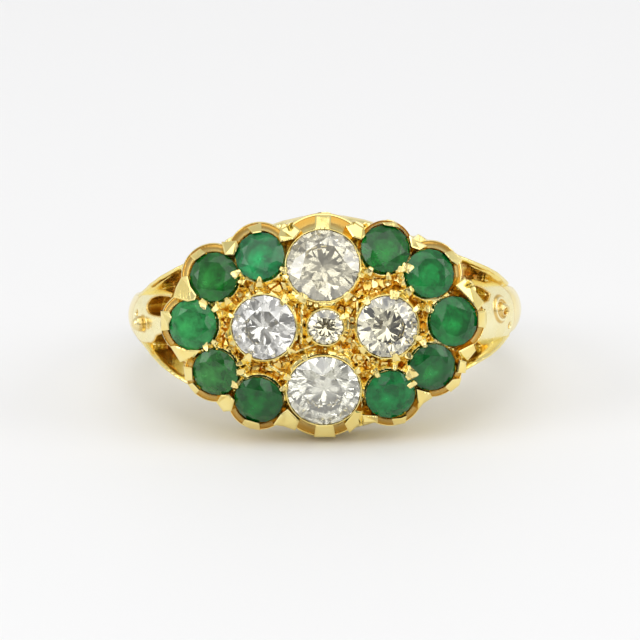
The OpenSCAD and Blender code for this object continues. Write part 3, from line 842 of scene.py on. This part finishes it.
# a section turned round one edge stone, kept only outside, where that stone is the nearest
def turnedRound(name, section):
    across, up, size = stones[name][:3]
    strip = outlined([(size / 2 + out, depth, 0) for out, depth in section], "NOTHING")
    bpy.ops.object.mode_set(mode="EDIT")
    # the circle is opened between its last point and its first
    mesh = bmesh.from_edit_mesh(strip.data)
    mesh.verts.ensure_lookup_table()
    first, last = mesh.verts[0], mesh.verts[len(section) - 1]
    closing = [edge for edge in first.link_edges if edge.other_vert(first) == last]
    bmesh.ops.delete(mesh, geom=closing, context="EDGES")
    bmesh.update_edit_mesh(strip.data)
    bpy.ops.mesh.select_all(action="SELECT")
    bpy.ops.mesh.spin(steps=turnPlan["steps"], angle=math.radians(360), center=(0, 0, 0),
                      axis=(0, 1, 0))
    bpy.ops.mesh.select_all(action="SELECT")
    bpy.ops.mesh.remove_doubles(threshold=weldGap)
    bpy.ops.transform.translate(value=(across * mm, 0, up * mm))

    def unwanted(co):
        x, z = co.x / mm, co.z / mm
        own = math.hypot(x - across, z - up) - size / 2
        return amongStones(x, z, 0) or nearestStone(x, z)[0] < own - turnPlan["overlap"]

    selectWhere(strip, unwanted)
    bpy.ops.mesh.delete(type="VERT")
    bpy.ops.mesh.select_all(action="SELECT")
    bpy.ops.mesh.normals_make_consistent(inside=False)
    bpy.ops.object.mode_set(mode="OBJECT")
    return strip


# the hollow flutes cut round the outside of the edge stones: share of the way out, depth in mm
fluteSection = [(0.03, -0.02), (0.08, 0.06), (0.18, 0.17), (0.34, 0.29), (0.55, 0.37), (0.80, 0.42),
                (0.90, 0.42)]
lipSection = [(0.84, 0.44), (0.88, 0.38), (0.96, 0.37), (1.0, 0.42), (1.02, 0.56), (1.0, 1.0)]
usualFlute = 0.38
fluteWidths = {"diamond_top": 0.74, "diamond_bottom": 0.62, "emerald_left_1": 0.43,
               "emerald_left_2": 0.41, "emerald_right_1": 0.16, "emerald_right_5": 0.42,
               "emerald_left_4": 0.40}
flutes, lips = [], []
for name in edgeStones:
    width = fluteWidths.get(name, usualFlute)
    for section, pieces in ((fluteSection, flutes), (lipSection, lips)):
        turned = turnedRound(name, [(share * width, depth) for share, depth in section])
        dished(turned)
        pieces.append(turned)
for pieces, name, finish in ((flutes, "edge_flutes", fluteGold), (lips, "edge_line", brightCut)):
    piece = joined(pieces, name)
    finishPiece(piece, finish, 50)
    faceOut(piece)
print("ring: flutes")

# the flat-cut claws round the edge, each by its outline on the head: across, up
edgeClaws = [
    [(-0.40, 5.62), (0.42, 5.60), (0.36, 4.93), (-0.44, 4.95)],
    [(-2.18, 4.95), (-1.63, 5.24), (-1.12, 4.86), (-1.50, 4.46), (-2.20, 4.32), (-2.30, 4.60)],
    [(-3.90, 5.06), (-3.17, 5.28), (-3.16, 4.83), (-3.62, 4.76)],
    [(-5.23, 4.31), (-4.46, 4.40), (-4.36, 4.11), (-4.60, 3.66), (-5.05, 3.70)],
    [(-6.86, 3.62), (-6.33, 4.00), (-6.05, 3.80), (-6.62, 3.40)],
    [(-7.32, 2.55), (-6.99, 2.64), (-6.86, 2.10), (-6.55, 1.66), (-6.62, 1.42), (-7.01, 1.34),
     (-7.75, 1.53), (-7.62, 2.00)],
    [(-8.42, 0.82), (-7.99, 0.82), (-7.84, 0.51), (-8.00, 0.18), (-7.98, -0.12), (-8.42, -0.20)],
    [(-7.95, -1.00), (-7.70, -0.94), (-7.06, -1.16), (-6.41, -1.16), (-6.76, -1.55),
     (-7.46, -1.82)],
    [(-7.30, -2.02), (-6.86, -2.08), (-6.84, -2.72), (-7.22, -2.80)],
    [(-7.10, -2.98), (-6.84, -2.88), (-6.50, -3.26), (-6.72, -3.50)],
    [(-5.64, -3.92), (-5.38, -3.48), (-4.99, -3.46), (-4.70, -3.76), (-4.88, -4.36),
     (-5.30, -4.40)],
    [(-4.34, -5.02), (-4.20, -4.78), (-3.46, -5.00), (-3.42, -5.40), (-3.98, -5.30)],
    [(-2.75, -5.10), (-2.34, -4.52), (-1.99, -4.26), (-1.40, -4.90), (-1.62, -5.42),
     (-2.20, -5.20)],
    [(-0.66, -5.80), (-0.56, -5.12), (0.34, -5.12), (0.44, -5.82)],
    [(1.14, 5.06), (1.63, 5.24), (2.08, 4.96), (2.14, 4.58), (1.93, 4.36), (1.50, 4.50)],
    [(3.00, 5.20), (3.70, 5.20), (3.92, 4.92), (3.16, 5.06)],
    [(4.38, 4.50), (4.74, 4.24), (5.31, 3.96), (4.92, 3.78), (4.50, 3.92)],
    [(6.16, 3.60), (6.62, 3.68), (7.02, 3.18), (6.86, 2.92), (6.50, 3.20)],
    [(6.72, 1.90), (7.21, 2.30), (7.48, 1.90), (8.20, 0.95), (7.84, 0.60), (7.56, 1.00)],
    [(7.84, 0.52), (8.26, 0.60), (8.26, -0.35), (7.84, -0.22)],
    [(6.82, -1.47), (7.60, -1.12), (7.72, -1.50), (7.30, -1.98), (7.02, -1.80)],
    [(6.84, -1.90), (7.22, -2.04), (7.18, -2.64), (6.72, -2.58)],
    [(6.10, -3.30), (6.49, -2.92), (6.95, -2.90), (6.85, -3.26), (6.40, -3.60)],
    [(4.64, -3.36), (5.32, -3.58), (5.45, -3.86), (4.99, -4.14), (4.70, -4.50)],
    [(3.34, -4.88), (3.83, -4.86), (4.12, -4.74), (4.04, -5.16), (3.46, -5.28)],
    [(0.92, -5.10), (1.48, -4.40), (1.86, -4.46), (1.80, -5.06), (1.16, -5.60)],
    [(1.84, -4.66), (2.62, -4.70), (2.62, -5.08), (1.84, -5.10)],
]
clawPlan = {"over": 0.30, "outer": -0.10, "fall": 1.0, "inset": 0.08, "crest": 0.06, "sunk": 0.75}
parts = []
for outline in edgeClaws:
    corners = []
    for across, up in outline:
        away = nearestStone(across, up)[0]
        height = max(clawPlan["outer"], clawPlan["over"] - clawPlan["fall"] * max(0, away))
        corners.append((across, -height, up))
    claw = outlined(corners)
    bpy.ops.object.mode_set(mode="EDIT")
    bpy.ops.mesh.select_mode(type="FACE")
    bpy.ops.mesh.select_all(action="SELECT")
    bpy.ops.mesh.inset(thickness=clawPlan["inset"] * mm)
    bpy.ops.transform.translate(value=(0, -clawPlan["crest"] * mm, 0))
    bpy.ops.mesh.select_mode(type="EDGE")
    bpy.ops.mesh.select_all(action="DESELECT")
    bpy.ops.mesh.select_non_manifold()
    sunk = (0, clawPlan["sunk"] * mm, 0)
    bpy.ops.mesh.extrude_region_move(TRANSFORM_OT_translate={"value": sunk})
    bpy.ops.mesh.select_mode(type="VERT")
    trianglesOut()
    dished(claw)
    parts.append(claw)
edgeClawPiece = joined(parts, "edge_claws")
finishPiece(edgeClawPiece, brightCut, 12)
print("ring: edge claws")

# the carved scrolls between the rails of the shoulders, each by its outline seen from outside:
# toward the back, up
scrolls = {
    "left_scroll": {
        "side": -1,
        "outline": [(0.56, 0.05), (0.50, 0.42), (0.34, 0.82), (0.02, 1.20), (-0.42, 1.48),
                    (-0.80, 1.64), (-1.50, 1.72), (-2.30, 1.70), (-3.20, 1.56), (-3.20, 1.30),
                    (-2.30, 1.34), (-1.85, 1.27), (-1.48, 1.14), (-1.26, 0.88), (-1.30, 0.64),
                    (-1.55, 0.45), (-1.95, 0.36), (-3.00, 0.30), (-3.00, -0.55), (-2.20, -0.75),
                    (-1.86, -1.02), (-1.50, -1.18), (-0.64, -1.24), (-0.16, -1.18), (0.14, -1.05),
                    (0.34, -0.82), (0.49, -0.45)],
        # toward the back, up, radius, height
        "beads": [(-0.94, -0.15, 0.42, 0.16)],
        "rings": [],
        # toward the back, up, radius, depth
        "hollows": [(-0.06, 0.36, 0.20, 0.42)],
    },
    "right_scroll": {
        "side": 1,
        "outline": [(0.14, -0.35), (0.12, 0.20), (0.04, 0.60), (-0.16, 1.05), (-0.60, 1.42),
                    (-1.10, 1.68), (-1.60, 1.80), (-2.30, 1.78), (-2.70, 1.92), (-3.10, 2.02),
                    (-3.60, 1.85), (-3.60, 1.55), (-3.10, 1.62), (-2.70, 1.45), (-2.30, 1.15),
                    (-2.60, 0.85), (-3.40, 0.70), (-3.40, -1.30), (-2.90, -1.50), (-1.90, -1.54),
                    (-1.00, -1.47), (-0.42, -1.25), (-0.08, -0.95), (0.08, -0.65)],
        "beads": [(-1.60, 0.30, 0.36, 0.10)],
        # toward the back, up, radius, thickness
        "rings": [(-1.58, 0.33, 0.58, 0.12)],
        "hollows": [(-1.66, 0.22, 0.22, 0.50), (-0.46, -0.60, 0.19, 0.40)],
    },
}
scrollPlan = {"angle": 65, "shankRadius": 10.5, "offset": 0.35, "rise": 0.34, "crown": 3.4,
              "thick": 0.9, "skin": (-0.4, -0.1), "voxel": 0.045, "soften": 6}
# painted shade in the carving, as shares of full shade: along the rim, round and on the beads, and
# round the rings; the share of a hollow that is all shade; and in mm the fade of the rim, of the
# sides, of a line and of a bead
carvingShadePlan = {"rim": 0.75, "beadEdge": 0.7, "bead": 0.30, "ringEdge": 0.8, "hollow": 0.7,
           "rimFade": (0.03, 0.13), "sideFade": (-0.25, -0.10), "lineFade": (0.02, 0.09),
           "beadFade": 0.05}


# how far out from the finger's axis the face of a scroll lies
def scrollFace(along, up):
    angle = math.radians(scrollPlan["angle"])
    across = along + scrollPlan["offset"] * math.sin(angle)
    bow = math.sqrt(scrollPlan["crown"] ** 2 - up ** 2)
    ring = scrollPlan["shankRadius"] + scrollPlan["rise"] - scrollPlan["crown"] + bow
    return scrollPlan["offset"] * math.cos(angle) + math.sqrt(ring ** 2 - across ** 2)


# how much painted shade a place on a scroll gets: in its carved lines and hollows, on its sides and
# its beads
def carvedTone(plan, along, up, out):
    corners = plan["outline"]
    rim = min(segmentGap(along, up, *corners[k - 1], *corners[k]) for k in range(len(corners)))
    dark = max(carvingShadePlan["rim"] * fade(rim, *carvingShadePlan["rimFade"]), fade(out, *carvingShadePlan["sideFade"]))
    for x, y, radius, height in plan["beads"]:
        away = math.hypot(along - x, up - y)
        dark = max(dark, carvingShadePlan["bead"] * fade(away, radius, radius + carvingShadePlan["beadFade"]),
                   carvingShadePlan["beadEdge"] * fade(abs(away - radius), *carvingShadePlan["lineFade"]))
    for x, y, radius, thick in plan["rings"]:
        away = abs(abs(math.hypot(along - x, up - y) - radius) - thick)
        dark = max(dark, carvingShadePlan["ringEdge"] * fade(away, *carvingShadePlan["lineFade"]))
    for x, y, radius, depth in plan["hollows"]:
        dark = max(dark, fade(math.hypot(along - x, up - y), carvingShadePlan["hollow"] * radius, radius))
    return dark


for name, plan in scrolls.items():
    scroll = outlined([(along, up, 0) for along, up in plan["outline"]])
    editWhole()
    inward = (0, 0, -scrollPlan["thick"] * mm)
    bpy.ops.mesh.extrude_region_move(TRANSFORM_OT_translate={"value": inward})
    trianglesOut()
    parts = [scroll]
    for along, up, radius, height in plan["beads"]:
        deselect()
        middle = (along * mm, up * mm, height * mm)
        bpy.ops.mesh.primitive_uv_sphere_add(segments=32, ring_count=16, radius=radius * mm,
                                             location=middle)
        parts.append(stretched((1.05, 1, 1.1), middle))
    for along, up, radius, thick in plan["rings"]:
        deselect()
        middle = (along * mm, up * mm, 0)
        bpy.ops.mesh.primitive_torus_add(major_radius=radius * mm, minor_radius=thick * mm,
                                         major_segments=48, minor_segments=12, location=middle)
        parts.append(stretched((1, 1, 1.3), middle))
    scroll = joined(parts, name)
    addModifier(scroll, "REMESH", mode="VOXEL", voxel_size=scrollPlan["voxel"] * mm, adaptivity=0.0)
    for vert in scroll.data.vertices:
        along, up, out = vert.co / mm
        if out > scrollPlan["skin"][0]:
            skin = smoothStep(out, *scrollPlan["skin"]) * mm
            for x, y, radius, depth in plan["hollows"]:
                away = math.hypot(along - x, up - y)
                vert.co.z -= depth * skin * fade(away, hollowFlat * radius, radius)
    addModifier(scroll, "SMOOTH", factor=0.5, iterations=scrollPlan["soften"])
    # painted shade in the carving, kept on the mesh for the scroll gold to darken
    mark = scroll.data.attributes.new("carved", "FLOAT", "POINT")
    for vert in scroll.data.vertices:
        along, up, out = vert.co / mm
        mark.data[vert.index].value = carvedTone(plan, along, up, out)
        vert.co = Vector((plan["side"] * along, up, out + scrollFace(along, up))) * mm
    turn = Matrix.Rotation(math.radians(plan["side"] * scrollPlan["angle"]), 4, "Z")
    scroll.data.transform(turn @ Matrix.Rotation(math.pi / 2, 4, "X"))
    if plan["side"] < 0:
        flipFaces(scroll)
    layDown(scroll)
    finishPiece(scroll, scrollGold)
    print("ring:", name, len(scroll.data.polygons), "faces")

# floor and light
floorPlan = {"size": 2, "tone": (0.85, 0.85, 0.855, 1), "roughness": 0.6}
bpy.ops.mesh.primitive_plane_add(size=floorPlan["size"], location=(0, 0, 0))
floor = bpy.context.object
floor.name = "floor"
floorPaint = bpy.data.materials.new("floorPaint")
floorPaint.use_nodes = True
shader = floorPaint.node_tree.nodes["Principled BSDF"]
setInputs(shader, {"Base Color": floorPlan["tone"], "Roughness": floorPlan["roughness"]})
floor.data.materials.append(floorPaint)

lights = [
    # name, place in metres, size, watts, colour
    ("roofLight", (0.0, -0.15, 0.70), 0.80, 2.10, (1, 1, 1)),
    ("leftLight", (-0.60, -0.25, 0.35), 0.40, 1.20, (1, 1, 1)),
    ("rightLight", (0.60, -0.20, 0.35), 0.40, 1.00, (1, 0.98, 0.95)),
    ("frontLight", (0.10, -0.75, 0.42), 0.40, 0.95, (1, 1, 1)),
]
for name, spot, size, watts, tint in lights:
    data = bpy.data.lights.new(name, "AREA")
    data.size = size
    data.energy = watts
    data.color = tint
    lamp = bpy.data.objects.new(name, data)
    lamp.location = spot
    toRing = Vector((0, 0, 0.005)) - Vector(spot)
    lamp.rotation_euler = toRing.to_track_quat("-Z", "Y").to_euler()
    bpy.context.scene.collection.objects.link(lamp)

# a pale room, brighter overhead and behind, with the dark of the camera and its stand in front;
# strengths, then the way back and up over which they change, and the dark's angles in degrees
room = {"front": 0.54, "rear": 0.85, "high": 0.60, "camera": 0.05,
        "back": (-0.5, 0.3), "up": (0.15, 0.75), "dark": (26, 10)}
world = bpy.data.worlds.new("studio")
world.use_nodes = True
tree = world.node_tree
where = addNode(tree, "ShaderNodeTexCoord").outputs["Generated"]
back, up = parted(tree, where)[1:]
level = rangeNode(tree, back, *room["back"], room["front"], room["rear"])
strength = rangeNode(tree, up, *room["up"], level, room["high"])
toward = addNode(tree, "ShaderNodeVectorMath", operation="DOT_PRODUCT")
tree.links.new(where, toward.inputs[0])
toward.inputs[1].default_value = -look
wide, narrow = (math.cos(math.radians(angle)) for angle in room["dark"])
shade = rangeNode(tree, toward.outputs["Value"], wide, narrow)
tone = addNode(tree, "ShaderNodeMix")
for socket, value in (("Factor", shade), ("A", strength), ("B", room["camera"])):
    feed(tree, tone.inputs[socket], value)
tree.links.new(tone.outputs["Result"], tree.nodes["Background"].inputs["Strength"])
tree.nodes["Background"].inputs["Color"].default_value = (1, 1, 1, 1)
bpy.context.scene.world = world
bpy.context.scene.view_settings.view_transform = "Standard"
print("ring: light")
